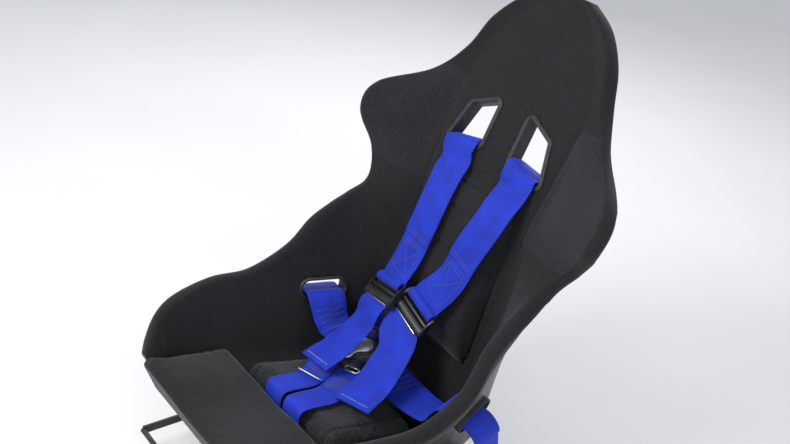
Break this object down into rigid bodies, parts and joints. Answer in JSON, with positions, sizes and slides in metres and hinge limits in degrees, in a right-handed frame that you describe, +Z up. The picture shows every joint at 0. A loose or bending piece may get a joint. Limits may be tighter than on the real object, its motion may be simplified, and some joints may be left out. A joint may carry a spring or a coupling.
{
  "type": "racing bucket seat with harness",
  "caption": "Fixed-back racing bucket seat with winged sides, shoulder and lap slots, a webbing harness with a rotary buckle, side brackets and slide rails.",
  "frame": {"origin": "floor level, midway between the slide rails, under the middle of the seat", "axes": "+Z up; the occupant faces -Y; +X is the occupant's left"},
  "size_m": [0.6528, 0.7294, 0.894],
  "materials": {
    "shell": "black gel coat on glass fibre, low gloss outside",
    "knit_fabric": "black knitted upholstery fabric over foam",
    "mesh_fabric": "black open mesh fabric over foam",
    "grip_fabric": "black fabric with small raised grip dots",
    "webbing": "royal blue woven polyester webbing",
    "black_plastic": "satin black moulded plastic",
    "black_steel": "black powder-coated steel",
    "bright_steel": "polished nickel-plated steel",
    "buckle_shell": "dark grey cast housing",
    "zinc_steel": "zinc-plated steel"
  },
  "bodies": {
    "rails": {"floor_rail_left": "zinc_steel", "floor_rail_right": "zinc_steel"},
    "seat": {"adjuster_left": "black_steel", "adjuster_right": "black_steel", "back_cushion": "knit_fabric", "base_cushion": "grip_fabric", "buckle_body": "buckle_shell", "centre_lining": "knit_fabric", "crotch_anchor": "bright_steel", "crotch_slot_sleeve": "black_plastic", "crotch_strap_left": "webbing", "crotch_strap_right": "webbing", "crotch_tongue_left": "bright_steel", "crotch_tongue_right": "bright_steel", "lap_anchor_left": "bright_steel", "lap_anchor_right": "bright_steel", "lap_belt_left": "webbing", "lap_belt_right": "webbing", "lap_slot_sleeve_left": "black_plastic", "lap_slot_sleeve_right": "black_plastic", "lap_tongue_left": "bright_steel", "lap_tongue_right": "bright_steel", "leg_cushion": "knit_fabric", "lower_strap_left": "webbing", "lower_strap_right": "webbing", "seat_shell": "shell", "seat_shell_pan": "shell", "shoulder_anchor_left": "bright_steel", "shoulder_anchor_right": "bright_steel", "shoulder_slot_bezel_left": "black_plastic", "shoulder_slot_bezel_right": "black_plastic", "shoulder_strap_left": "webbing", "shoulder_strap_right": "webbing", "shoulder_tongue_left": "bright_steel", "shoulder_tongue_right": "bright_steel", "side_bolts_left": "zinc_steel", "side_bolts_right": "zinc_steel", "side_bracket_left": "black_steel", "side_bracket_right": "black_steel", "side_lining_left": "mesh_fabric", "side_lining_right": "mesh_fabric", "slide_runner_left": "zinc_steel", "slide_runner_right": "zinc_steel", "strap_tail_left": "webbing", "strap_tail_right": "webbing"},
    "buckle_lever": {"buckle_lever": "bright_steel"},
    "release_bar": {"release_bar": "black_steel"}
  },
  "joints": [
    {"name": "seat_slide", "type": "slide", "parent": "rails", "child": "seat", "axis": [0, 1, 0], "range_m": [-0.07, 0.06]},
    {"name": "buckle_turn", "type": "hinge", "parent": "seat", "child": "buckle_lever", "pos_m": [-0.058, 0.048, 0.206], "axis": [0.1392, -0.2396, 0.9609], "range_deg": [0, 60], "stiffness_Nm_per_rad": 0.05},
    {"name": "release_lift", "type": "hinge", "parent": "seat", "child": "release_bar", "pos_m": [0, -0.15, 0.046], "axis": [1, 0, 0], "range_deg": [-12, 0], "stiffness_Nm_per_rad": 12, "springref_deg": 8.59}
  ]
}
